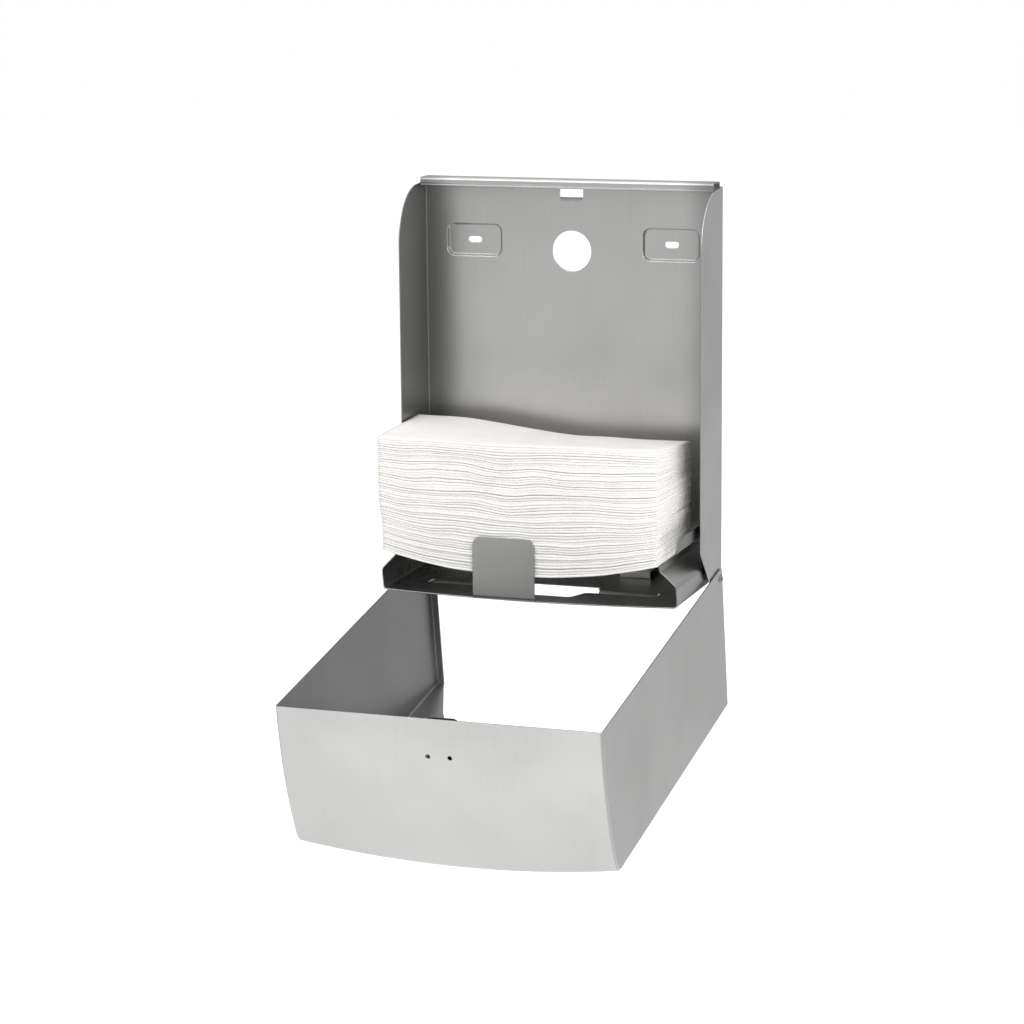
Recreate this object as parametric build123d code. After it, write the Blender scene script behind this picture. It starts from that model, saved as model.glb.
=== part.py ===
from build123d import *
import math
import os

# Folded towel dispenser, drawn with its cover swung open as it stands to be refilled.
# Frame: millimetres, +X to the object's right, front towards -Y, +Z up.
# The origin is midway between the two wall slots, on the wall plane.

# Sheet and overall size
sheet = 1.0
base_width = 275.0
wall_top_z = 52.0
base_bottom_z = -297.0
plate_standoff = 2.5
side_wall_depth = 68.5
bend_radius = 1.4

# Side wall outline
wall_top_fall = 1.5
wall_top_radius = 48.0
wall_slant_start_z = -259.0
wall_slant_back = 32.0
wall_slant_drop = 33.2
wall_corner_radius = 6.0

# Ledge along the top of the base
ledge_rise = 4.5
ledge_depth = 19.5
ledge_end_gap = 2.0
ledge_front_radius = 2.5
ledge_drop = 4.2
ledge_joggle = 1.2
ledge_hem_radius = 1.3

# Wall mount, service hole and latch cut-out
slot_spacing = 182.0
slot_length = 12.8
slot_width = 5.4
pad_width = 53.0
pad_height = 30.5
pad_corner = 6.0
pad_draft = 35.0
pad_wall = 0.6
service_hole_radius = 18.0
service_hole_drop = 7.7
cutout_width = 21.4
cutout_height = 7.5
cutout_below_wall_top = 4.6
cutout_lip_height = 3.0
cutout_lip_reach = 2.4
cutout_lip_inset = 1.2

# Cover
cover_gap = 0.6
cover_top_rise = 6.5
cover_side_depth = 133.5
cover_bow = 13.0
cover_top_flat = 15.0
cover_top_radius = 360.0
cover_front_radius = 14.0
cover_edge_radius = 2.5
cover_below_base = 2.5
cover_flange = 6.0
cover_rear_corner = 4.0
cover_open_angle = 99.5
mouth_height = 100.0
mouth_top_half_width = 98.0
mouth_corner = 70.0

# Cover hinge
hinge_y = -11.75
hinge_z = -293.5
hinge_shank_radius = 2.5
hinge_clearance = 0.06
hinge_head_radius = 4.5
hinge_head_height = 2.0
hinge_tail_radius = 4.0
hinge_tail_height = 1.2
washer_radius = 6.0
washer_side_clearance = 0.05
flange_hinge_gap = 8.0

# Key holes and latch
key_hole_radius = 1.9
key_hole_spacing = 18.8
key_hole_depth = 33.4
latch_width = 29.0
latch_sheet = 0.8
latch_tip_depth = 4.6
latch_tip_corner = 5.0
latch_pivot_depth = 66.0
latch_leaf_top_z = 45.2
latch_barb_rise = 2.9
latch_barb_thickness = 2.4
latch_barb_gap = 1.2
latch_pin_radius = 1.5
latch_eye_wall = 1.0
latch_pin_head_radius = 2.4
latch_pin_head = 0.8
latch_cheek_gap = 0.4
latch_bracket_length = 15.0
latch_bracket_below_pin = 3.6
latch_spring_width = 8.0
latch_spring_sheet = 0.4
latch_spring_reach = 22.0
latch_spring_gap = 0.3

# Tray
tray_half_width = 133.8
tray_top_z = -293.0
tray_corner_depth = 131.0
tray_bow = 12.5
tray_wall_height = 18.5
tray_shoulder_lean = 3.0
tray_tip_lean = 6.0
tray_bend_radius = 2.5
tray_shoulder_radius = 8.0
tray_slant_run = 13.4
tray_tip_run = 1.0
tray_tip_rise = 4.0
tray_flange_height = 24.0
tray_flange_half_width = 116.0
tray_rivet_below_flange_top = 8.0
tray_rivet_pitch = 62.0
tray_rivet_count = 4

# Blind rivets
rivet_radius = 2.0
rivet_head_radius = 3.6
rivet_head_height = 1.3
rivet_head_round = 1.0
rivet_tail_radius = 3.2
rivet_tail_height = 0.9
rivet_clearance = 0.05

# Dispensing slot in the tray
slot_mid_half_width = 48.0
slot_mid_rear = 74.0
slot_mid_front = 118.5
slot_mid_front_half_width = 34.0
slot_step_half_width = 42.0
slot_arm_half_width = 105.0
slot_arm_rear = 81.5
slot_arm_front = 98.0
slot_corner = 3.0
slot_sweep = 6.0
lip_radius = 6.5
lip_turn = 80.0
lip_end_radius = 4.0
lip_inset = 2.0

# Tongue in front of the towels
tongue_centre_x = -17.0
tongue_width = 56.0
tongue_top_z = -238.5
tongue_depth = 145.6
tongue_corner = 8.5
tongue_bend_radius = 3.0
tongue_root = 16.0

# Side guides
guide_standoff = 3.5
guide_bottom_z = -246.5
guide_height = 10.5
guide_rear_depth = 20.0
guide_flange_length = 24.0
guide_joggle = 6.0
guide_front_depth = 131.0
guide_front_slant = 2.0

# Clips that hold the tray's rear edge down
clip_inner_x = 52.0
clip_width = 28.0
clip_reach = 26.0
clip_arm_height = 7.5
clip_foot = 15.0
clip_bend_radius = 1.5
clip_tray_gap = 0.3
clip_rivet_below_top = 7.0

# Towel pack
pack_width = 250.0
pack_offset_x = -6.5
pack_rear_depth = 34.0
pack_corner_depth = 135.4
pack_bow = 8.0
pack_height = 100.0
pack_edge_radius = 4.0
seat_gap = 0.3

# How far a cutting form runs past the face that it cuts
past = 5.0

# Values that follow from those above
half_width = base_width / 2
inner_half = half_width - sheet
plate_rear = -plate_standoff
plate_front = plate_rear - sheet
wall_front = plate_rear - side_wall_depth
ledge_top_z = wall_top_z + ledge_rise
ledge_front_y = plate_front - ledge_depth
hem_z = ledge_top_z - ledge_front_radius - ledge_drop
hem_bottom_z = hem_z - ledge_hem_radius
hem_y = ledge_front_y + ledge_joggle
cover_half = half_width + cover_gap + sheet
cover_top_z = wall_top_z + cover_top_rise
cover_bottom_z = base_bottom_z - cover_below_base
mouth_low_half = cover_half - sheet - cover_flange
flange_cut = 2 * sheet
hinge_place = (0, hinge_y, hinge_z)
hinge_bore_radius = hinge_shank_radius + hinge_clearance
tray_mid_z = tray_top_z - sheet / 2
tray_shoulder_z = tray_mid_z + tray_wall_height
tray_tip_z = tray_shoulder_z + tray_slant_run + tray_tip_rise
pack_bottom_z = tray_tip_z + seat_gap
flange_front = plate_front - sheet
clip_mid_y = flange_front - sheet / 2
clip_mid_z = tray_top_z + clip_arm_height - sheet / 2
clip_top_z = clip_mid_z + clip_foot
latch_y = plate_rear - latch_pivot_depth
latch_z = latch_leaf_top_z - latch_sheet / 2
latch_place = (0, latch_y, latch_z)


def save(node, shape):
    """Write one node, which may be several separate solids."""
    solids = shape.solids()
    body = solids[0] if len(solids) == 1 else Compound(children=list(solids))
    export_step(body, f"parts/{node}.step")


def across(section, x_from, x_to):
    """Extrude a section drawn in depth and height across the object."""
    return extrude(Plane.YZ.offset(x_from) * section, x_to - x_from)


def rod(radius, x_from, x_to, y, z):
    """A round bar along X."""
    return Pos((x_from + x_to) / 2, y, z) * Rot(0, 90, 0) * Cylinder(radius, abs(x_to - x_from))


def pin(radius, y_from, y_to, x, z):
    """A round bar along Y."""
    return Pos(x, (y_from + y_to) / 2, z) * Rot(90, 0, 0) * Cylinder(radius, abs(y_to - y_from))


def opened(shape):
    """Swing a piece drawn with the cover shut to the open rest pose."""
    return Pos(*hinge_place) * Rot(cover_open_angle, 0, 0) * Pos(*[-v for v in hinge_place]) * shape


def wall_outline():
    """Outline of a side wall, seen from the side."""
    slant_end_y = wall_front + wall_slant_back
    slant_rate = wall_slant_back / wall_slant_drop
    low_y = slant_end_y + (wall_slant_start_z - wall_slant_drop - base_bottom_z) * slant_rate
    arc_top = (wall_front + wall_top_radius, wall_top_z - wall_top_fall)
    arc_end = (wall_front, wall_top_z - wall_top_fall - wall_top_radius)
    with BuildSketch() as outline:
        with BuildLine():
            Polyline((low_y, base_bottom_z), (plate_rear, base_bottom_z), (plate_rear, wall_top_z), arc_top)
            JernArc(arc_top, (-1, 0), wall_top_radius, 90)
            Polyline(arc_end, (wall_front, wall_slant_start_z), (low_y, base_bottom_z))
        make_face()
        corner = outline.vertices().sort_by_distance((wall_front, wall_slant_start_z))[0]
        fillet(corner, wall_corner_radius)
    return outline.sketch


def base_channel():
    """Back plate and side walls folded from one sheet."""
    with BuildSketch() as section:
        with BuildLine():
            Polyline(
                (-half_width, wall_front), (-half_width, plate_rear),
                (half_width, plate_rear), (half_width, wall_front),
                (inner_half, wall_front), (inner_half, plate_front),
                (-inner_half, plate_front), (-inner_half, wall_front), (-half_width, wall_front),
            )
        make_face()
        outer = section.vertices().filter_by_position(Axis.Y, plate_rear - 0.01, plate_rear + 0.01)
        fillet(outer, bend_radius)
        inner = section.vertices().filter_by_position(Axis.Y, plate_front - 0.01, plate_front + 0.01)
        fillet(inner, bend_radius - sheet)
    height = wall_top_z - base_bottom_z
    channel = extrude(Plane.XY.offset(base_bottom_z) * section.sketch, height)
    return channel & across(wall_outline(), -half_width - past, half_width + past)


def ledge():
    """Hooked fold along the top edge of the back plate."""
    half_sheet = sheet / 2
    mid_y = plate_rear - half_sheet
    mid_z = ledge_top_z - half_sheet
    front_y = ledge_front_y + half_sheet
    turn = ledge_front_radius - half_sheet
    with BuildSketch() as section:
        with BuildLine() as path:
            FilletPolyline(
                (mid_y, wall_top_z - ledge_hem_radius), (mid_y, mid_z), (front_y, mid_z),
                (front_y, hem_z + ledge_joggle + half_sheet), (hem_y + half_sheet, hem_z + half_sheet),
                radius=[turn, turn, half_sheet],
            )
        trace(path.line, line_width=sheet)
    reach = inner_half - ledge_end_gap
    fold = across(section.sketch, -reach, reach)
    hem = rod(ledge_hem_radius, -reach, reach, hem_y + ledge_hem_radius / 2, hem_z)
    return fold + hem


def pad(x):
    """Recess pressed into the back plate towards the wall, with its screw slot."""
    draft = 2 * plate_standoff * math.tan(math.radians(pad_draft))
    wide = pad_width - draft
    tall = pad_height - draft
    outer = extrude(
        Plane.XZ * RectangleRounded(wide, tall, pad_corner), plate_standoff + sheet / 2, taper=-pad_draft
    )
    floor = RectangleRounded(wide - 2 * pad_wall, tall - 2 * pad_wall, pad_corner - pad_wall)
    inner = extrude(Plane.XZ.offset(sheet) * floor, plate_standoff + past, taper=-pad_draft)
    slot = extrude(Plane.XZ.offset(-past) * SlotOverall(slot_length, slot_width), sheet + 2 * past)
    return Pos(x, 0, 0) * outer, Pos(x, 0, 0) * (inner + slot)


def base_housing():
    """The folded base: channel, ledge, pressed pads, holes and the lip under the cut-out."""
    body = base_channel() + ledge()
    for x in (-slot_spacing / 2, slot_spacing / 2):
        pressed, hollow = pad(x)
        body = body + pressed - hollow
    body -= pin(service_hole_radius, plate_front - past, plate_rear + past, 0, -service_hole_drop)
    cutout_top = wall_top_z - cutout_below_wall_top
    cutout_mid = cutout_top - cutout_height / 2
    body -= Pos(0, plate_front, cutout_mid) * Box(cutout_width, 2 * past, cutout_height)
    lip_z = cutout_top - cutout_height
    lip_face = Polyline(
        (plate_front + sheet / 2, lip_z), (plate_front, lip_z),
        (plate_front - cutout_lip_reach, lip_z - cutout_lip_height + sheet),
        (plate_front - cutout_lip_reach, lip_z - cutout_lip_height),
        (plate_front + sheet / 2, lip_z - sheet), (plate_front + sheet / 2, lip_z),
    )
    lip_half = cutout_width / 2 - cutout_lip_inset
    body += across(make_face(lip_face), -lip_half, lip_half)
    for side in (-1, 1):
        body -= rod(hinge_shank_radius, side * (inner_half - sheet), side * (half_width + sheet), hinge_y, hinge_z)
    return body


def cover_block(inset):
    """Outer form of the shut cover, or its hollow when inset by the sheet."""
    half = cover_half - inset
    rear = plate_rear + (past if inset else 0)
    side_y = plate_rear - cover_side_depth + inset
    front_y = side_y - cover_bow
    with BuildSketch() as plan:
        with BuildLine():
            Line((-half, rear), (half, rear))
            Line((half, rear), (half, side_y))
            ThreePointArc((half, side_y), (0, front_y), (-half, side_y))
            Line((-half, side_y), (-half, rear))
        make_face()
    top_z = cover_top_z - inset
    bottom_z = cover_bottom_z + inset
    flat_y = plate_rear - cover_top_flat
    radius = cover_top_radius - inset
    end_y = front_y - past
    end_z = top_z - (radius - math.sqrt(radius ** 2 - (flat_y - end_y) ** 2))
    mid_y = (flat_y + end_y) / 2
    mid_z = top_z - (radius - math.sqrt(radius ** 2 - (flat_y - mid_y) ** 2))
    with BuildSketch() as section:
        with BuildLine():
            Line((rear, bottom_z), (rear, top_z))
            Line((rear, top_z), (flat_y, top_z))
            ThreePointArc((flat_y, top_z), (mid_y, mid_z), (end_y, end_z))
            Line((end_y, end_z), (end_y, bottom_z))
            Line((end_y, bottom_z), (rear, bottom_z))
        make_face()
    wide = across(section.sketch, -cover_half - past, cover_half + past)
    tall = extrude(Plane.XY.offset(bottom_z) * plan.sketch, top_z - bottom_z + past)
    block = wide & tall
    front = [
        edge for edge in block.edges()
        if edge.center().Y < side_y - 1 and edge.center().Z > 0 and edge.length > half
    ]
    block = fillet(front, cover_front_radius - inset)
    round_side = [
        edge for edge in block.edges()
        if abs(abs(edge.center().X) - half) < 0.01 and edge.center().Y < rear - 1
        and edge.center().Z > bottom_z + 1
    ]
    return fillet(round_side, cover_edge_radius - inset)


def mouth():
    """Opening at the foot of the cover's front panel, through which a towel is reached."""
    low_z = cover_bottom_z + flange_cut
    top_z = cover_bottom_z + mouth_height
    face = make_face(Polyline(
        (-mouth_low_half, cover_bottom_z - past), (-mouth_low_half, low_z),
        (-mouth_top_half_width, top_z), (mouth_top_half_width, top_z),
        (mouth_low_half, low_z), (mouth_low_half, cover_bottom_z - past), close=True,
    ))
    face = fillet(face.vertices().sort_by(Axis.Y)[-2:], mouth_corner)
    behind_front = cover_side_depth - plate_rear - past
    return extrude(Plane.XZ.offset(behind_front) * face, cover_bow + 2 * past)


def cover_shell():
    """Top, front and two side panels, with a flange turned in along the foot of each side."""
    shell = cover_block(0) - cover_block(sheet) - mouth()
    open_depth = cover_side_depth + cover_bow + 2 * past
    open_mid_y = plate_rear + past - open_depth / 2
    shell -= Pos(0, open_mid_y, cover_bottom_z) * Box(2 * mouth_low_half, open_depth, 2 * flange_cut)
    flange_start = hinge_y - flange_hinge_gap
    clear_y = plate_rear + past - flange_start
    clear = 2 * (cover_half - sheet)
    shell -= Pos(0, flange_start + clear_y / 2, cover_bottom_z) * Box(clear, clear_y, 2 * flange_cut)
    for side in (-1, 1):
        shell -= rod(
            hinge_bore_radius,
            side * (half_width - sheet), side * (cover_half + sheet), hinge_y, hinge_z
        )
        key_y = plate_rear - key_hole_depth
        key_x = side * key_hole_spacing / 2
        shell -= Pos(key_x, key_y, cover_top_z) * Cylinder(key_hole_radius, 2 * past)
    rear_low = [
        edge for edge in shell.edges().filter_by(Axis.X)
        if abs(edge.center().Y - plate_rear) < 0.01 and abs(edge.center().Z - cover_bottom_z) < 0.01
    ]
    return fillet(rear_low, cover_rear_corner)


def bent_sheet(points, radii, thickness=sheet):
    """Section of a sheet that follows a bent middle line, rounded at its inner points."""
    line = FilletPolyline(*points, radius=radii)
    return trace(line, line_width=thickness)


def hinge_rivet(side):
    """Shouldered rivet that a side panel of the cover turns on."""
    wall_in = inner_half
    cover_out = cover_half + washer_side_clearance
    shank = rod(hinge_shank_radius, side * wall_in, side * cover_out, hinge_y, hinge_z)
    head_place = Pos(side * cover_out, hinge_y, hinge_z) * Rot(0, side * 90, 0)
    crown = (hinge_head_radius ** 2 + hinge_head_height ** 2) / (2 * hinge_head_height)
    dome = Pos(0, 0, hinge_head_height - crown) * Sphere(crown)
    head = dome & (Pos(0, 0, hinge_head_height / 2) * Cylinder(hinge_head_radius, hinge_head_height))
    tail = rod(hinge_tail_radius, side * (wall_in - hinge_tail_height), side * wall_in, hinge_y, hinge_z)
    return shank + head_place * head + tail


def hinge_washer(side):
    """Plastic washer between a side wall and the cover."""
    inside = half_width + washer_side_clearance
    outside = cover_half - sheet - washer_side_clearance
    ring = rod(washer_radius, side * inside, side * outside, hinge_y, hinge_z)
    return ring - rod(hinge_bore_radius, side * (inside - 1), side * (outside + 1), hinge_y, hinge_z)


def latch_bracket():
    """Channel welded under the cover's top panel, whose cheeks carry the latch pin."""
    cheek_in = latch_width / 2 + latch_cheek_gap
    rear = latch_y + latch_bracket_length / 2
    front = latch_y - latch_bracket_length / 2
    low_z = latch_z - latch_bracket_below_pin
    tall = cover_top_z - low_z
    cheek_outline = Pos(0, latch_y, low_z + tall / 2)
    body = cheek_outline * Box(2 * (cheek_in + sheet), latch_bracket_length, tall)
    body -= Pos(0, latch_y + sheet, low_z + tall / 2) * Box(2 * cheek_in, latch_bracket_length, tall)
    hollow = cover_block(sheet)
    web_under = cover_block(2 * sheet)
    web = Pos(0, latch_y, low_z + tall / 2) * Box(2 * cheek_in, rear - front, tall)
    body = (body & hollow) + ((web & hollow) - web_under)
    reach = cheek_in + 2 * sheet
    return body - rod(latch_pin_radius + hinge_clearance, -reach, reach, latch_y, latch_z)


def latch_pin():
    """Headed pin through the latch bracket."""
    reach = latch_width / 2 + latch_cheek_gap + sheet + hinge_clearance
    body = rod(latch_pin_radius, -reach, reach, latch_y, latch_z)
    for side in (-1, 1):
        body += rod(latch_pin_head_radius, side * reach, side * (reach + latch_pin_head), latch_y, latch_z)
    return body


def latch_leaf():
    """Latch plate with an eye round the pin and a barb that rises behind the ledge's hem."""
    half = latch_width / 2
    tip_y = plate_rear - latch_tip_depth
    length = tip_y - latch_y
    plate = Pos(0, (tip_y + latch_y) / 2, latch_z) * Box(latch_width, length, latch_sheet)
    tip_edges = plate.edges().filter_by(Axis.Z).sort_by(Axis.Y)[-2:]
    plate = fillet(tip_edges, latch_tip_corner)
    eye_radius = latch_pin_radius + hinge_clearance + latch_eye_wall
    plate += rod(eye_radius, -half, half, latch_y, latch_z)
    plate -= rod(latch_pin_radius + hinge_clearance, -half - 1, half + 1, latch_y, latch_z)
    barb_front = hem_y + 2 * ledge_hem_radius - ledge_hem_radius / 2 + latch_barb_gap
    barb_y = barb_front + latch_barb_thickness / 2
    barb_top = latch_leaf_top_z + latch_barb_rise
    barb_half = half - latch_tip_corner
    barb = Pos(0, barb_y, (barb_top + latch_z) / 2) * Box(
        2 * barb_half, latch_barb_thickness, barb_top - latch_z
    )
    return plate + barb


def latch_spring():
    """Strip spring on the bracket that lifts the latch plate from below."""
    mid_y = latch_y - latch_bracket_length / 2 + sheet + latch_spring_sheet / 2
    low_z = latch_z - latch_bracket_below_pin + latch_spring_sheet / 2
    under_leaf = latch_leaf_top_z - latch_sheet - latch_spring_gap - latch_spring_sheet / 2
    pass_y = latch_y + latch_pin_radius + 2 * latch_eye_wall
    points = [
        (mid_y, latch_z + latch_bracket_below_pin), (mid_y, low_z), (pass_y, low_z),
        (latch_y + latch_spring_reach, under_leaf),
    ]
    section = bent_sheet(points, [latch_sheet, latch_spring_width], latch_spring_sheet)
    return across(section, -latch_spring_width / 2, latch_spring_width / 2)


def rivet(x, z, grip_front, grip_rear):
    """Blind rivet along Y with its head in front and a flat tail behind the plate."""
    shank = pin(rivet_radius, grip_front, grip_rear, x, z)
    head = pin(rivet_head_radius, grip_front - rivet_head_height, grip_front, x, z)
    rim = head.edges().sort_by(Axis.Y)[0]
    head = fillet(rim, rivet_head_round)
    tail = pin(rivet_tail_radius, grip_rear, grip_rear + rivet_tail_height, x, z)
    return shank + head + tail


def tray_rivet_places():
    """Where the tray's rear flange is riveted to the back plate."""
    first = -tray_rivet_pitch * (tray_rivet_count - 1) / 2
    z = tray_top_z + tray_flange_height - tray_rivet_below_flange_top
    return [(first + i * tray_rivet_pitch, z) for i in range(tray_rivet_count)]


def clip_rivet_place(side):
    """Where a tray clip is riveted through the tray's flange to the back plate."""
    return side * (clip_inner_x + clip_width / 2), clip_top_z - clip_rivet_below_top


def flange_rivet_places():
    """Every rivet that goes through the tray's flange and the back plate."""
    return tray_rivet_places() + [clip_rivet_place(side) for side in (-1, 1)]


def tray_section():
    """Sheet section of the tray across its width: plate and both wings."""
    wall_x = tray_half_width - sheet / 2
    slant_x = wall_x - tray_slant_run
    tip_x = slant_x - tray_tip_run
    slant_z = tray_shoulder_z + tray_slant_run
    right = [
        (wall_x, tray_mid_z), (wall_x, tray_shoulder_z), (slant_x, slant_z), (tip_x, tray_tip_z),
    ]
    left = [(-x, z) for x, z in reversed(right)]
    turns = [tray_tip_rise / 2, tray_shoulder_radius, tray_bend_radius]
    return bent_sheet(left + right, turns + turns[::-1])


def tray_slot():
    """Outline of the dispensing slot, wide in the middle with a narrow arm each side."""
    right = [
        (slot_mid_half_width, -slot_mid_rear), (slot_mid_half_width, -slot_arm_rear),
        (slot_arm_half_width, -slot_arm_rear), (slot_arm_half_width, -slot_arm_front),
        (slot_step_half_width, -slot_arm_front), (slot_mid_front_half_width, -slot_mid_front),
    ]
    left = [(-x, y) for x, y in reversed(right)]
    face = make_face(Polyline(*right, *left, close=True))
    sweep = [v for v in face.vertices() if abs(v.Y + slot_arm_front) < 0.1 and abs(v.X) < slot_mid_half_width]
    sweep += [v for v in face.vertices() if abs(v.Y + slot_mid_front) < 0.1]
    face = fillet(sweep, slot_sweep)
    ends = [v for v in face.vertices() if abs(abs(v.X) - slot_arm_half_width) < 0.1]
    return fillet(ends, slot_corner)


def tray_tongue():
    """Tongue turned up from the tray's front edge."""
    mid_y = -(tongue_depth - sheet / 2)
    root_y = -(tongue_depth - tongue_root)
    section = bent_sheet(
        [(root_y, tray_mid_z), (mid_y, tray_mid_z), (mid_y, tongue_top_z)], [tongue_bend_radius]
    )
    low_z = tray_top_z - 2 * sheet - tongue_corner
    tall = tongue_top_z - low_z
    outline = Pos(tongue_centre_x, (low_z + tongue_top_z) / 2) * RectangleRounded(
        tongue_width, tall, tongue_corner
    )
    window = extrude(Plane.XZ * outline, 2 * tongue_depth, both=True)
    left = tongue_centre_x - tongue_width
    return across(section, left, left + 2 * tongue_width) & window


def tray():
    """Tray folded from one sheet: slotted plate, two wings, rear flange and tongue."""
    rear_y = plate_front
    long_y = tongue_depth + past
    trough = extrude(Plane.XZ.offset(-rear_y) * tray_section(), long_y)
    side_y = -tray_corner_depth
    split_z = tray_top_z + tray_bend_radius
    with BuildSketch() as plan:
        with BuildLine():
            Line((-half_width, rear_y), (half_width, rear_y))
            Line((half_width, rear_y), (tray_half_width, side_y))
            ThreePointArc((tray_half_width, side_y), (0, side_y - tray_bow), (-tray_half_width, side_y))
            Line((-tray_half_width, side_y), (-half_width, rear_y))
        make_face()
    plate_zone = extrude(Plane.XY.offset(tray_top_z - 2 * sheet) * plan.sketch, split_z - tray_top_z + 2 * sheet)
    wing_side = make_face(Polyline(
        (rear_y, split_z), (side_y, split_z), (side_y - tray_shoulder_lean, tray_shoulder_z),
        (side_y - tray_tip_lean, tray_tip_z), (side_y - tray_tip_lean, tray_tip_z + sheet),
        (rear_y, tray_tip_z + sheet), close=True,
    ))
    wing_zone = across(wing_side, -half_width, half_width)
    body = (trough & plate_zone) + (trough & wing_zone)
    flange = bent_sheet(
        [
            (rear_y - 3 * tray_bend_radius, tray_mid_z), (rear_y - sheet / 2, tray_mid_z),
            (rear_y - sheet / 2, tray_top_z + tray_flange_height),
        ],
        [tray_bend_radius],
    )
    corner = Pos(0, rear_y, tray_mid_z) * Box(4 * half_width, 2 * tray_bend_radius, 2 * sheet)
    body = body - corner + across(flange, -tray_flange_half_width, tray_flange_half_width)
    body -= extrude(Plane.XY.offset(tray_top_z - 2 * sheet) * tray_slot(), 3 * sheet)
    arm_in = slot_mid_half_width + lip_inset
    arm_out = slot_arm_half_width - lip_inset
    lip_line = JernArc((-slot_arm_rear, tray_mid_z), (-1, 0), lip_radius - sheet / 2, lip_turn)
    lip_section = trace(lip_line, line_width=sheet)
    window_tall = 2 * (lip_radius + sheet)
    for side in (-1, 1):
        window_mid = Pos(side * (arm_in + arm_out) / 2, tray_top_z - lip_radius + window_tall / 2)
        window = window_mid * RectangleRounded(arm_out - arm_in, window_tall, lip_end_radius)
        lip = across(lip_section, side * arm_in if side > 0 else -arm_out, arm_out if side > 0 else -arm_in)
        body += lip & extrude(Plane.XZ * window, 2 * tongue_depth, both=True)
    body += tray_tongue()
    for x, z in flange_rivet_places():
        body -= pin(rivet_radius + rivet_clearance, rear_y - 3 * sheet, rear_y + sheet, x, z)
    return body


def side_guide(side):
    """Strip welded inside a side wall that keeps the pack's end square."""
    wall_x = inner_half - sheet / 2
    strip_x = inner_half - guide_standoff - sheet / 2
    points = [
        (side * wall_x, -guide_rear_depth), (side * wall_x, -guide_rear_depth - guide_flange_length),
        (side * strip_x, -guide_rear_depth - guide_flange_length - guide_joggle),
        (side * strip_x, -guide_front_depth),
    ]
    section = bent_sheet(points, [2 * sheet, 2 * sheet])
    strip = extrude(Plane.XY.offset(guide_bottom_z) * section, guide_height)
    top_z = guide_bottom_z + guide_height
    front_y = -guide_front_depth
    cut = make_face(Polyline(
        (front_y - 1, top_z + 1), (front_y + guide_front_slant + 1, top_z + 1),
        (front_y - 1, guide_bottom_z - 1), close=True,
    ))
    return strip - across(cut, -half_width, half_width)


def tray_clip(side):
    """Z-shaped clip whose turned-down lip holds the tray's rear edge down."""
    tip_y = flange_front - clip_reach
    section = bent_sheet(
        [
            (clip_mid_y, clip_top_z), (clip_mid_y, clip_mid_z),
            (tip_y, clip_mid_z), (tip_y, tray_top_z + clip_tray_gap),
        ],
        [clip_bend_radius, clip_bend_radius],
    )
    start = side * clip_inner_x
    end = side * (clip_inner_x + clip_width)
    x, z = clip_rivet_place(side)
    hole = pin(rivet_radius + rivet_clearance, flange_front - 2 * sheet, flange_front + sheet / 2, x, z)
    return across(section, min(start, end), max(start, end)) - hole


def towel_pack():
    """Pack of folded paper towels standing on the tray's wings."""
    half = pack_width / 2
    front_y = -pack_corner_depth
    with BuildSketch() as plan:
        with BuildLine():
            Line((-half, -pack_rear_depth), (half, -pack_rear_depth))
            Line((half, -pack_rear_depth), (half, front_y))
            ThreePointArc((half, front_y), (0, front_y - pack_bow), (-half, front_y))
            Line((-half, front_y), (-half, -pack_rear_depth))
        make_face()
        fillet(plan.vertices(), pack_edge_radius)
    block = extrude(Plane.XY.offset(pack_bottom_z) * plan.sketch, pack_height)
    return Pos(pack_offset_x, 0, 0) * block


def base_with_rivet_holes():
    """Base housing drilled for the rivets of the tray and its clips."""
    body = base_housing()
    for x, z in flange_rivet_places():
        body -= pin(rivet_radius + rivet_clearance, plate_front - sheet, plate_rear + sheet, x, z)
    return body


def main():
    os.makedirs("parts", exist_ok=True)
    save("base_housing", base_with_rivet_holes())
    save("tray", tray())
    save("tray_rivets", Compound(children=[
        rivet(x, z, flange_front, plate_rear) for x, z in tray_rivet_places()
    ]))
    save("clip_rivets", Compound(children=[
        rivet(*clip_rivet_place(side), flange_front - sheet, plate_rear) for side in (-1, 1)
    ]))
    for side, word in ((-1, "left"), (1, "right")):
        save(f"side_guide_{word}", side_guide(side))
        save(f"tray_clip_{word}", tray_clip(side))
        save(f"hinge_rivet_{word}", hinge_rivet(side))
        save(f"hinge_washer_{word}", hinge_washer(side))
    save("cover_shell", opened(cover_shell()))
    save("latch_bracket", opened(latch_bracket()))
    save("latch_pin", opened(latch_pin()))
    save("latch_leaf", opened(latch_leaf()))
    save("latch_spring", opened(latch_spring()))
    save("towel_pack", towel_pack())
    turn = math.radians(cover_open_angle)
    dy = latch_y - hinge_y
    dz = latch_z - hinge_z
    open_y = hinge_y + dy * math.cos(turn) - dz * math.sin(turn)
    open_z = hinge_z + dy * math.sin(turn) + dz * math.cos(turn)
    print("cover hinge axis (mm):", hinge_place)
    print("latch pin axis (mm):", (0, round(open_y, 3), round(open_z, 3)))
    print("pack bottom (mm):", round(pack_bottom_z, 3))


main()
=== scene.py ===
import math

import bpy
from mathutils import Matrix, Vector


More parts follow.
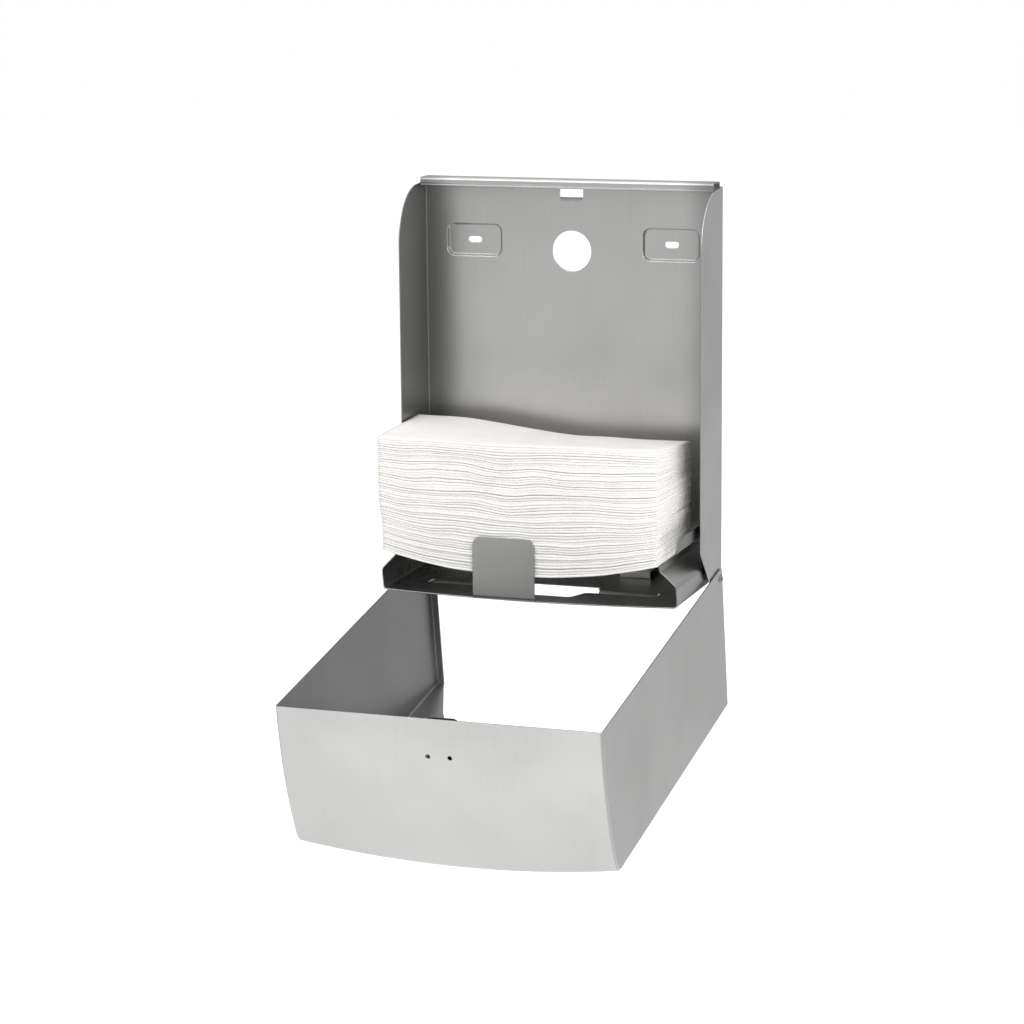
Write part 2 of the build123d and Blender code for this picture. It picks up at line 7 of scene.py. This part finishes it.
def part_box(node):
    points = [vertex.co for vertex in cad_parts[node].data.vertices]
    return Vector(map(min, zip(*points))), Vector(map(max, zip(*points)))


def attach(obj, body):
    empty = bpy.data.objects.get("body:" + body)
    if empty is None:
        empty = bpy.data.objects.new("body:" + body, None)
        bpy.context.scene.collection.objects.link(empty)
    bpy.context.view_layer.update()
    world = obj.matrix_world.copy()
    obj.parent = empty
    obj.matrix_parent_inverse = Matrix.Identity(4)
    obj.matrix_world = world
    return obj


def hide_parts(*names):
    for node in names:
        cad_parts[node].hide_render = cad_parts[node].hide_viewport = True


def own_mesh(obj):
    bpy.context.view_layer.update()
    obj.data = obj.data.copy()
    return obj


# Folded towel dispenser in brushed stainless sheet, with its cover swung down.
# Lengths are metres unless a name says mm. The frame holds every metal and plastic
# piece, and the pack of towels is made here, towel by towel.

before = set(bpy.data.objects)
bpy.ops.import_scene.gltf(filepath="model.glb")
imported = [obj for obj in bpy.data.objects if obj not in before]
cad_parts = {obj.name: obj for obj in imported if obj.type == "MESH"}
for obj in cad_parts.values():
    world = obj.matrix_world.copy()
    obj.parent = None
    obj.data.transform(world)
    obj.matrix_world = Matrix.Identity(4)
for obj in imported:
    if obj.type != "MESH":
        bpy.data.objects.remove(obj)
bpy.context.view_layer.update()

MM = 0.001
SEED = 7

# The cover is drawn swung open by this angle about X
COVER_OPEN = math.radians(99.5)

# Towel pack: how many, where the pile stands, and how it sags, bows and ripples
TOWEL_COUNT = 50
PACK_REAR = 34.0 * MM
PACK_CORNER_DEPTH = 139.6 * MM
PACK_BOW = 4.2 * MM
PACK_SAG_FRONT = 15.0 * MM
PACK_SAG_REAR = 8.0 * MM
PACK_TOP_FALL = 9.5 * MM
TOWEL_SIDE_JITTER = 0.35 * MM
TOWEL_FRONT_JITTER = 1.0 * MM
TOWEL_WAVE = 14.0 * MM
TOWEL_WAVE_LENGTH = 58.0 * MM
TOWEL_FILL = 0.96
PACK_LEFT_SPREAD = 3.0 * MM
PACK_REAR_HUMP = 3.0 * MM
PACK_CORNER_CURL = 1.6 * MM
TOWEL_WAVE_DEPTH = 250.0 * MM
TOWEL_WAVE_HEIGHT = 34.0 * MM
TOWEL_EDGE_CREEP_MM = 1.1
TOWEL_CREEP_LENGTH = 45.0 * MM

# As parts of the pitch from one towel to the next: how far a towel may lie off its
# height, and how tall the steps of its front edge are
TOWEL_HEIGHT_JITTER = 0.12
TOWEL_CREEP_STEP = 0.9

# How far a fold or a rim of the sheet is rounded where it catches the light
FOLD_ROUND = 1.1 * MM

# Middle of the side sheets, over how far the painted shade stops there,
# and where shade is painted darker beside the housing's bends
COVER_WALL_MID = 138.6 * MM
HOUSING_WALL_MID = 137.0 * MM
SHEET_BLUR = 0.2 * MM
PAINTED_SHADE_START = 98.0 * MM
PAINTED_SHADE_END = 136.0 * MM

# Sizes of the patterns in the finishes, as drawn
BRUSH_LINE_MM = 0.6
BRUSH_LENGTH_MM = 45
STEEL_CLOUD_MM = 90
NYLON_PIT_MM = 0.4
CREPE_MM = 0.9
PAPER_CLOUD_MM = 22

# Camera, found from the photograph's edges, holes and corners
CAMERA_PLACE = Vector((0.846994, -2.606138, 0.304108))
CAMERA_AZIMUTH = math.radians(19.175)
CAMERA_ELEVATION = math.radians(11.281)
CAMERA_ROLL = math.radians(0.522)
CAMERA_LENS = 109.48
CAMERA_SENSOR = 36.0

FLOOR_Z = -0.85
FLOOR_REACH = 12.0

# Brightness of the studio: at the horizon, what is added just below it, far below it
# and high above it, what the front right loses and what the front left gains
STUDIO_HORIZON = 0.46
STUDIO_LOW = 0.15
STUDIO_LOWEST = 0.46
STUDIO_HIGH = 0.6
STUDIO_DIM = 0.26
STUDIO_LIFT = 0.16

# Soft boxes: place, point aimed at, side in metres, power in watts
LAMPS = {
    "soft_box_front": ((-1.4, -2.6, 2.4), (0, -0.1, -0.25), 2.2, 32),
    "soft_box_top": ((0.3, -0.6, 2.6), (0, -0.1, -0.25), 2.0, 14),
    "soft_box_right": ((2.3, -2.2, 0.7), (0, -0.1, -0.2), 1.8, 44),
}


def linear(hex_colour):
    """An sRGB hex colour as linear red, green, blue and alpha."""
    channels = [int(hex_colour[i:i + 2], 16) / 255 for i in (1, 3, 5)]
    return [c / 12.92 if c <= 0.04045 else ((c + 0.055) / 1.055) ** 2.4 for c in channels] + [1.0]


def add(tree, kind, settings=None, **inputs):
    """Add a node, set its properties, and set or link its inputs by name or by i0, i1 for a place."""
    node = tree.nodes.new(kind)
    for key, value in (settings or {}).items():
        setattr(node, key, value)
    for key, value in inputs.items():
        place = int(key[1:]) if key[0] == "i" and key[1:].isdigit() else key.replace("_", " ")
        socket = node.inputs[place]
        if isinstance(value, bpy.types.NodeSocket):
            tree.links.new(value, socket)
        else:
            socket.default_value = value
    return node


def maths(tree, operation, a, b=0.0, clamp=False):
    """One maths node's result."""
    settings = {"operation": operation, "use_clamp": clamp}
    return add(tree, "ShaderNodeMath", settings, i0=a, i1=b).outputs[0]


def smooth(tree, value, low, high, out_low=0.0, out_high=1.0):
    """Turn a value smoothly from one level to another between two places."""
    node = add(tree, "ShaderNodeMapRange", {"interpolation_type": "SMOOTHSTEP"}, Value=value)
    for name, number in (("From Min", low), ("From Max", high), ("To Min", out_low), ("To Max", out_high)):
        node.inputs[name].default_value = number
    return node.outputs[0]


def blend(tree, factor, dark, colour):
    """A colour that runs from one hex colour to another."""
    mix = add(tree, "ShaderNodeMix", {"data_type": "RGBA"},
              i0=factor, i6=linear(dark), i7=linear(colour))
    return mix.outputs[2]


# Materials

def new_material(name):
    """An empty material with its tree and its shader."""
    material = bpy.data.materials.new(name)
    material.use_nodes = True
    tree = material.node_tree
    return material, tree, tree.nodes["Principled BSDF"]


def grain(tree, coords, across_mm, along_mm, turn=0.0):
    """Brushing lines: noise fine across the grain and long down it, with a set for faces that face X."""
    fine = 1 / (across_mm * MM)
    coarse = 1 / (along_mm * MM)
    turned = add(tree, "ShaderNodeMapping", {"vector_type": "POINT"}, Vector=coords, Rotation=(turn, 0, 0))
    facing = add(tree, "ShaderNodeSeparateXYZ", Vector=add(tree, "ShaderNodeTexCoord").outputs["Normal"])
    to_side = maths(tree, "ABSOLUTE", facing.outputs["X"])
    to_side = smooth(tree, to_side, 0.6, 0.8)
    lines = []
    for scale in ((fine, coarse, coarse), (coarse, fine, coarse)):
        placed = add(tree, "ShaderNodeMapping", Vector=turned.outputs[0], Scale=scale)
        noise = add(tree, "ShaderNodeTexNoise", Vector=placed.outputs[0],
                    Scale=1.0, Detail=2.0, Roughness=0.6)
        lines.append(noise.outputs["Fac"])
    mix = add(tree, "ShaderNodeMix", {"data_type": "FLOAT"}, i0=to_side, i2=lines[0], i3=lines[1])
    return mix.outputs[0]


def painted_shade_inside_cover(tree, coords):
    """Where shade is painted on the cover: one on the faces that look inwards, nought on its outside."""
    place = add(tree, "ShaderNodeSeparateXYZ", Vector=coords)
    facing = add(tree, "ShaderNodeSeparateXYZ", Vector=add(tree, "ShaderNodeTexCoord").outputs["Normal"])
    sideways = smooth(tree, maths(tree, "ABSOLUTE", facing.outputs["X"]), 0.6, 0.8)
    from_middle = maths(tree, "ABSOLUTE", place.outputs["X"])
    inner_side = smooth(tree, from_middle, COVER_WALL_MID - SHEET_BLUR,
                        COVER_WALL_MID + SHEET_BLUR, 1.0, 0.0)
    inner_panel = smooth(tree, maths(tree, "ADD", facing.outputs["Y"], facing.outputs["Z"]), 0.1, 0.4)
    mix = add(tree, "ShaderNodeMix", {"data_type": "FLOAT"}, i0=sideways, i2=inner_panel, i3=inner_side)
    return mix.outputs[0]


def painted_shade_near_wall(tree, coords):
    """Where shade is painted on the housing: nought in the open middle, rising to one at the bends with its
    side walls.
    """
    place = add(tree, "ShaderNodeSeparateXYZ", Vector=coords)
    from_middle = maths(tree, "ABSOLUTE", place.outputs["X"])
    inside = smooth(tree, from_middle, HOUSING_WALL_MID - SHEET_BLUR,
                    HOUSING_WALL_MID + SHEET_BLUR, 1.0, 0.0)
    return maths(tree, "MULTIPLY", inside, smooth(tree, from_middle, PAINTED_SHADE_START, PAINTED_SHADE_END))


def brushed_steel(name, colour, dark, rough, turn=0.0, shaded=None, shade=1.0):
    """Stainless sheet brushed with a fine belt: satin, with soft clouds and faint lines down the sheet.
    A function given as shaded marks the faces where shade is painted: their colour drops to the share that
    shade gives.
    The lines are 0.05 mm on the real sheet and are drawn 0.6 mm wide so that they show."""
    material, tree, shader = new_material(name)
    coords = add(tree, "ShaderNodeTexCoord").outputs["Object"]
    lines = grain(tree, coords, BRUSH_LINE_MM, BRUSH_LENGTH_MM, turn)
    cloud = add(tree, "ShaderNodeTexNoise", Vector=coords,
                Scale=1 / (STEEL_CLOUD_MM * MM), Detail=2.0, Roughness=0.5)
    tone = maths(tree, "ADD", maths(tree, "MULTIPLY", lines, 0.3),
                 maths(tree, "MULTIPLY", cloud.outputs["Fac"], 0.7))
    finish = blend(tree, smooth(tree, tone, 0.32, 0.68), dark, colour)
    # Painted shade: the colour of the faces that shaded marks is darkened to the share that shade gives
    if shaded:
        keep = maths(tree, "SUBTRACT", 1.0, maths(tree, "MULTIPLY", shaded(tree, coords), 1.0 - shade))
        finish = add(tree, "ShaderNodeVectorMath", {"operation": "SCALE"}, i0=finish, Scale=keep).outputs[0]
    tree.links.new(finish, shader.inputs["Base Color"])
    tree.links.new(smooth(tree, tone, 0.3, 0.7, rough + 0.03, rough - 0.03), shader.inputs["Roughness"])
    rounded = add(tree, "ShaderNodeBevel", {"samples": 4}, Radius=FOLD_ROUND)
    bump = add(tree, "ShaderNodeBump", Height=lines, Normal=rounded.outputs[0],
               Strength=0.03, Distance=0.05 * MM)
    tree.links.new(bump.outputs[0], shader.inputs["Normal"])
    shader.inputs["Metallic"].default_value = 1.0
    return material


def rolled_steel(name, colour, dark, rough, mark_mm):
    """Cold-formed steel, as on rivets, pins and strips: dull, with fine even marks of the tool."""
    material, tree, shader = new_material(name)
    coords = add(tree, "ShaderNodeTexCoord").outputs["Object"]
    marks = add(tree, "ShaderNodeTexNoise", Vector=coords,
                Scale=1 / (mark_mm * MM), Detail=4.0, Roughness=0.6)
    tint = blend(tree, smooth(tree, marks.outputs["Fac"], 0.35, 0.65), dark, colour)
    tree.links.new(tint, shader.inputs["Base Color"])
    worn = smooth(tree, marks.outputs["Fac"], 0.3, 0.7, rough - 0.06, rough + 0.06)
    tree.links.new(worn, shader.inputs["Roughness"])
    bump = add(tree, "ShaderNodeBump", Height=marks.outputs["Fac"], Strength=0.1, Distance=0.08 * MM)
    tree.links.new(bump.outputs[0], shader.inputs["Normal"])
    shader.inputs["Metallic"].default_value = 1.0
    return material


def moulded_nylon(name):
    """Natural nylon, injection moulded: milky, with a fine spark-eroded texture."""
    material, tree, shader = new_material(name)
    coords = add(tree, "ShaderNodeTexCoord").outputs["Object"]
    pits = add(tree, "ShaderNodeTexNoise", Vector=coords, Scale=1 / (NYLON_PIT_MM * MM), Detail=3.0)
    tint = blend(tree, pits.outputs["Fac"], "#D2CFC4", "#E2DFD6")
    tree.links.new(tint, shader.inputs["Base Color"])
    tree.links.new(smooth(tree, pits.outputs["Fac"], 0.3, 0.7, 0.42, 0.55), shader.inputs["Roughness"])
    bump = add(tree, "ShaderNodeBump", Height=pits.outputs["Fac"], Strength=0.15, Distance=0.05 * MM)
    tree.links.new(bump.outputs[0], shader.inputs["Normal"])
    return material


def towel_paper(name):
    """Bleached tissue, pressed between rollers: matt, warm in its shadows, with a fine even crepe."""
    material, tree, shader = new_material(name)
    coords = add(tree, "ShaderNodeTexCoord").outputs["Object"]
    fine = 1 / (CREPE_MM * MM)
    crepe_at = add(tree, "ShaderNodeMapping", Vector=coords, Scale=(fine, fine, fine))
    crepe = add(tree, "ShaderNodeTexNoise", Vector=crepe_at.outputs[0],
                Scale=1.0, Detail=3.0, Roughness=0.65)
    cloud = add(tree, "ShaderNodeTexNoise", Vector=coords, Scale=1 / (PAPER_CLOUD_MM * MM), Detail=2.0)
    tone = maths(tree, "ADD", maths(tree, "MULTIPLY", crepe.outputs["Fac"], 0.75),
                 maths(tree, "MULTIPLY", cloud.outputs["Fac"], 0.25))
    tint = blend(tree, smooth(tree, tone, 0.35, 0.62), "#E1DFDB", "#EBE9E7")
    tree.links.new(tint, shader.inputs["Base Color"])
    tree.links.new(smooth(tree, crepe.outputs["Fac"], 0.3, 0.7, 0.86, 0.96), shader.inputs["Roughness"])
    bump = add(tree, "ShaderNodeBump", Height=crepe.outputs["Fac"], Strength=0.08, Distance=0.08 * MM)
    tree.links.new(bump.outputs[0], shader.inputs["Normal"])
    shader.inputs["Specular IOR Level"].default_value = 0.2
    shader.inputs["Sheen Weight"].default_value = 0.1
    return material


def dress_metal():
    """Give every metal and plastic piece of the frame its finish."""
    # The housing has shade painted into its colour, darker beside its bends with the side walls
    housing = brushed_steel("stainless_brushed_housing", "#CFCFCE", "#C4C4C3", 0.32,
                            shaded=painted_shade_near_wall, shade=0.5)
    # The cover has shade painted into the colour of its inward faces
    cover = brushed_steel("stainless_brushed_cover", "#D0D0CF", "#C8C8C7", 0.34, turn=-COVER_OPEN,
                          shaded=painted_shade_inside_cover, shade=0.42)
    tray = brushed_steel("stainless_brushed_tray", "#BFBFBE", "#B2B2B1", 0.3)
    rivet = rolled_steel("steel_cold_headed", "#ABABAA", "#8E8E8D", 0.34, 1.2)
    latch = rolled_steel("spring_steel_rolled", "#8F8F90", "#757576", 0.38, 2.5)
    nylon = moulded_nylon("nylon_moulded")
    finish = {
        "base_housing": housing, "cover_shell": cover, "tray": tray,
        "tray_rivets": rivet, "clip_rivets": rivet, "latch_pin": rivet,
        "latch_bracket": latch, "latch_leaf": latch, "latch_spring": latch,
    }
    for side in ("left", "right"):
        finish["side_guide_" + side] = housing
        finish["tray_clip_" + side] = housing
        finish["hinge_rivet_" + side] = rivet
        finish["hinge_washer_" + side] = nylon
    for node, material in finish.items():
        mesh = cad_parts[node].data
        mesh.materials.clear()
        mesh.materials.append(material)


# Towels

class Field:
    """A number at each point, worked out by maths nodes as it is written."""

    def __init__(self, tree, socket):
        self.tree = tree
        self.socket = socket

    def _with(self, operation, a, b=0.0, clamp=False):
        a, b = (x.socket if isinstance(x, Field) else x for x in (a, b))
        return Field(self.tree, maths(self.tree, operation, a, b, clamp=clamp))

    def __add__(self, other):
        return self._with("ADD", self, other)

    def __sub__(self, other):
        return self._with("SUBTRACT", self, other)

    def __rsub__(self, other):
        return self._with("SUBTRACT", other, self)

    def __mul__(self, other):
        return self._with("MULTIPLY", self, other)

    def __truediv__(self, other):
        return self._with("DIVIDE", self, other)

    def __pow__(self, other):
        return self._with("POWER", self, other)

    __rmul__ = __mul__

    def clamped(self):
        return self._with("ADD", self, 0.0, clamp=True)

    def eased(self, low, high, out_low=0.0, out_high=1.0):
        return Field(self.tree, smooth(self.tree, self.socket, low, high, out_low, out_high))


def towel_leaf(width, depth, thickness):
    """One folded towel, flat: a slab with a rounded fold in front and behind."""
    columns = 54
    flat_points = 7
    round_points = 6
    half = thickness / 2
    section = []
    for i in range(flat_points):
        section.append((-half - (depth - thickness) * i / flat_points, -half))
    for i in range(round_points):
        turn = math.pi * i / round_points
        section.append((-(depth - half) - half * math.sin(turn), -half * math.cos(turn)))
    for i in range(flat_points):
        section.append((-(depth - half) + (depth - thickness) * i / flat_points, half))
    for i in range(round_points):
        turn = math.pi * i / round_points
        section.append((-half + half * math.sin(turn), half * math.cos(turn)))
    count = len(section)
    points = []
    for c in range(columns + 1):
        x = -width / 2 + width * c / columns
        points += [(x, y, z) for y, z in section]
    faces = []
    for c in range(columns):
        for i in range(count):
            a = c * count + i
            b = c * count + (i + 1) % count
            faces.append((a, a + count, b + count, b))
    faces.append(tuple(range(count)))
    faces.append(tuple(reversed(range(columns * count, (columns + 1) * count))))
    mesh = bpy.data.meshes.new("towel_leaf")
    mesh.from_pydata(points, [], faces)
    mesh.update()
    return bpy.data.objects.new("towel_leaf", mesh)


def towel_tree(leaf, material, low, high):
    """Nodes that pile the folded towels, then sag, bow and ripple the pile."""
    tree = bpy.data.node_groups.new("towel_pile", "GeometryNodeTree")
    face = tree.interface
    face.new_socket("Geometry", in_out="INPUT", socket_type="NodeSocketGeometry")
    sizes = {
        "Count": ("NodeSocketInt", TOWEL_COUNT),
        "Front sag": ("NodeSocketFloat", PACK_SAG_FRONT),
        "Rear sag": ("NodeSocketFloat", PACK_SAG_REAR),
        "Top fall": ("NodeSocketFloat", PACK_TOP_FALL),
        "Bow": ("NodeSocketFloat", PACK_BOW),
        "Left spread": ("NodeSocketFloat", PACK_LEFT_SPREAD),
        "Wave height": ("NodeSocketFloat", TOWEL_WAVE),
        "Wave length": ("NodeSocketFloat", TOWEL_WAVE_LENGTH),
        "Seed": ("NodeSocketInt", SEED),
    }
    for name, (kind, _) in sizes.items():
        face.new_socket(name, in_out="INPUT", socket_type=kind)
    face.new_socket("Geometry", in_out="OUTPUT", socket_type="NodeSocketGeometry")
    given = add(tree, "NodeGroupInput")
    pitch = (high.z - low.z) / TOWEL_COUNT
    middle = (low.x + high.x) / 2
    half = (high.x - low.x) / 2
    depth = PACK_CORNER_DEPTH - PACK_REAR

    def size(name):
        return Field(tree, given.outputs[name])

    line = add(tree, "GeometryNodeMeshLine", {"mode": "OFFSET"}, Count=given.outputs["Count"])
    line.inputs["Start Location"].default_value = (middle, -PACK_REAR, low.z + pitch / 2)
    line.inputs["Offset"].default_value = (0, 0, pitch)
    jitter = add(tree, "FunctionNodeRandomValue", {"data_type": "FLOAT_VECTOR"},
                 Seed=given.outputs["Seed"])
    off_height = pitch * TOWEL_HEIGHT_JITTER
    jitter.inputs["Min"].default_value = (-TOWEL_SIDE_JITTER, -TOWEL_FRONT_JITTER, -off_height)
    jitter.inputs["Max"].default_value = (TOWEL_SIDE_JITTER, TOWEL_FRONT_JITTER, off_height)
    loose = add(tree, "GeometryNodeSetPosition", Geometry=line.outputs[0], Offset=jitter.outputs[0])
    towel = add(tree, "GeometryNodeObjectInfo", Object=leaf)
    pile = add(tree, "GeometryNodeInstanceOnPoints", Points=loose.outputs[0],
               Instance=towel.outputs["Geometry"])
    real = add(tree, "GeometryNodeRealizeInstances", Geometry=pile.outputs[0])

    place = add(tree, "ShaderNodeSeparateXYZ", Vector=add(tree, "GeometryNodeInputPosition").outputs[0])
    x, y, z = (Field(tree, place.outputs[i]) for i in range(3))
    across = (x - middle) / half
    along = ((-PACK_REAR - y) / depth).clamped()
    height = ((z - low.z) / (high.z - low.z)).clamped()
    dish = (1.0 - across * across).clamped()

    deepest = size("Rear sag") + (size("Front sag") - size("Rear sag")) * along
    sag = deepest * dish * (1.0 - height) ** 1.25
    to_rear = 1.0 - along
    slump = across.eased(-0.8, 0.3)
    fall = size("Top fall") * to_rear * slump * height ** 2.0
    hump = PACK_REAR_HUMP * to_rear * (1.0 - slump) * height ** 2.0

    spread = size("Wave length")
    ripple_at = add(tree, "ShaderNodeCombineXYZ", i0=(x / spread).socket,
                    i1=(y / TOWEL_WAVE_DEPTH).socket, i2=(z / TOWEL_WAVE_HEIGHT).socket)
    ripple = add(tree, "ShaderNodeTexNoise", Vector=ripple_at.outputs[0],
                 Scale=1.0, Detail=1.0, Roughness=0.35)
    above_foot = (height * 4.0 + 0.25).clamped()
    below_top = ((1.0 - height) * 5.0 + 0.15).clamped()
    inside = (1.0 - across ** 6.0).clamped() * above_foot * below_top
    wave = (Field(tree, ripple.outputs["Fac"]) - 0.5) * size("Wave height") * inside

    edge_at = add(tree, "ShaderNodeCombineXYZ", i0=(x / TOWEL_CREEP_LENGTH).socket, i1=0.0,
                  i2=(z / (pitch * TOWEL_CREEP_STEP)).socket)
    edge = add(tree, "ShaderNodeTexNoise", Vector=edge_at.outputs[0], Scale=1.0, Detail=2.0)
    creep = (Field(tree, edge.outputs["Fac"]) - 0.5) * TOWEL_EDGE_CREEP_MM * MM * along
    bow = size("Bow") * dish * along
    corner = PACK_CORNER_CURL * across ** 12.0 * along

    higher = height.eased(0.2, 0.5)
    spread_left = size("Left spread") * higher * (0.0 - across).clamped()

    move = add(tree, "ShaderNodeCombineXYZ", i0=(0.0 - spread_left).socket,
               i1=(creep - bow + corner).socket, i2=(wave + hump - sag - fall).socket)
    shaped = add(tree, "GeometryNodeSetPosition", Geometry=real.outputs[0], Offset=move.outputs[0])
    smoothed = add(tree, "GeometryNodeSetShadeSmooth", Geometry=shaped.outputs[0])
    painted = add(tree, "GeometryNodeSetMaterial", Geometry=smoothed.outputs[0], Material=material)
    add(tree, "NodeGroupOutput", Geometry=painted.outputs[0])
    return tree, sizes


def plain_mesh(carrier, name):
    """The evaluated result of a piece as a plain mesh object of its own."""
    bpy.context.view_layer.update()
    graph = bpy.context.evaluated_depsgraph_get()
    mesh = bpy.data.meshes.new_from_object(carrier.evaluated_get(graph))
    mesh.name = name
    piece = bpy.data.objects.new(name, mesh)
    bpy.context.scene.collection.objects.link(piece)
    bpy.data.objects.remove(carrier)
    return piece


def make_towels():
    """The pile of folded towels, standing where the frame holds its pack."""
    low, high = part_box("towel_pack")
    paper = towel_paper("tissue_bleached_pressed")
    pitch = (high.z - low.z) / TOWEL_COUNT
    width = high.x - low.x - 2 * TOWEL_SIDE_JITTER
    leaf = towel_leaf(width, PACK_CORNER_DEPTH - PACK_REAR, pitch * TOWEL_FILL)
    tree, sizes = towel_tree(leaf, paper, low, high)
    carrier = bpy.data.objects.new("towel_carrier", bpy.data.meshes.new("towel_carrier"))
    bpy.context.scene.collection.objects.link(carrier)
    pile = carrier.modifiers.new("pile", "NODES")
    pile.node_group = tree
    for item in tree.interface.items_tree:
        if item.in_out == "INPUT" and item.name in sizes:
            pile[item.identifier] = sizes[item.name][1]
    towels = plain_mesh(carrier, "folded_towels")
    bpy.data.objects.remove(leaf)
    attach(towels, "pack")
    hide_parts("towel_pack")
    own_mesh(towels)


# Room, light and camera

def make_world():
    """A soft white studio for the steel to mirror: dimmer at the front right, brighter at the left."""
    world = bpy.data.worlds.new("studio")
    bpy.context.scene.world = world
    world.use_nodes = True
    tree = world.node_tree
    tree.nodes.clear()
    place = add(tree, "ShaderNodeSeparateXYZ", Vector=add(tree, "ShaderNodeTexCoord").outputs["Generated"])
    x, y, z = (Field(tree, place.outputs[i]) for i in range(3))
    below = z.eased(-0.04, -0.22, 0.0, STUDIO_LOW) + z.eased(-0.28, -0.46, 0.0, STUDIO_LOWEST)
    above = z.eased(0.1, 0.75, 0.0, STUDIO_HIGH)
    front_right = x.eased(-0.05, 0.6) * y.eased(0.1, -0.4)
    front_left = x.eased(0.0, -0.3) * y.eased(-0.2, -0.8)
    light = below + above + STUDIO_HORIZON - front_right * STUDIO_DIM + front_left * STUDIO_LIFT
    glow = add(tree, "ShaderNodeBackground", Color=(1, 1, 1, 1), Strength=light.socket)
    plain = add(tree, "ShaderNodeBackground", Color=(1, 1, 1, 1), Strength=1.0)
    seen = add(tree, "ShaderNodeLightPath").outputs["Is Camera Ray"]
    both = add(tree, "ShaderNodeMixShader", i0=seen, i1=glow.outputs[0], i2=plain.outputs[0])
    add(tree, "ShaderNodeOutputWorld", Surface=both.outputs[0])


def make_lamp(name, place, target, size, power):
    """A square soft box aimed at a point."""
    data = bpy.data.lights.new(name, "AREA")
    data.size = size
    data.energy = power
    lamp = bpy.data.objects.new(name, data)
    lamp.location = place
    lamp.rotation_euler = (Vector(target) - Vector(place)).to_track_quat("-Z", "Y").to_euler()
    bpy.context.scene.collection.objects.link(lamp)


def make_floor():
    """A plain pale floor well below the object."""
    mesh = bpy.data.meshes.new("floor")
    turns = ((-1, -1), (1, -1), (1, 1), (-1, 1))
    corners = [(x * FLOOR_REACH, y * FLOOR_REACH, FLOOR_Z) for x, y in turns]
    mesh.from_pydata(corners, [], [(0, 1, 2, 3)])
    floor = bpy.data.objects.new("floor", mesh)
    bpy.context.scene.collection.objects.link(floor)
    material, tree, shader = new_material("floor_painted")
    coords = add(tree, "ShaderNodeTexCoord").outputs["Object"]
    speck = add(tree, "ShaderNodeTexNoise", Vector=coords, Scale=3.0)
    tint = blend(tree, speck.outputs["Fac"], "#FAFAFA", "#FEFEFE")
    tree.links.new(tint, shader.inputs["Base Color"])
    shader.inputs["Roughness"].default_value = 0.9
    shader.inputs["Emission Color"].default_value = (1, 1, 1, 1)
    shader.inputs["Emission Strength"].default_value = 0.25
    mesh.materials.append(material)
    floor.visible_glossy = False


def make_camera():
    """Camera at the photograph's viewing angle."""
    data = bpy.data.cameras.new("camera")
    data.lens = CAMERA_LENS
    data.sensor_width = CAMERA_SENSOR
    camera = bpy.data.objects.new("camera", data)
    level = math.cos(CAMERA_ELEVATION)
    back = Vector((
        math.sin(CAMERA_AZIMUTH) * level, -math.cos(CAMERA_AZIMUTH) * level, math.sin(CAMERA_ELEVATION)
    ))
    right = (-back).cross(Vector((0, 0, 1))).normalized()
    up = back.cross(right)
    rolled_right = math.cos(CAMERA_ROLL) * right - math.sin(CAMERA_ROLL) * up
    rolled_up = math.sin(CAMERA_ROLL) * right + math.cos(CAMERA_ROLL) * up
    turn = Matrix((rolled_right, rolled_up, back)).transposed()
    camera.matrix_world = Matrix.Translation(CAMERA_PLACE) @ turn.to_4x4()
    bpy.context.scene.collection.objects.link(camera)
    bpy.context.scene.camera = camera


bpy.context.scene.view_settings.view_transform = "Standard"
dress_metal()
make_towels()
make_world()
make_floor()
for lamp_name, lamp_sizes in LAMPS.items():
    make_lamp(lamp_name, *lamp_sizes)
make_camera()
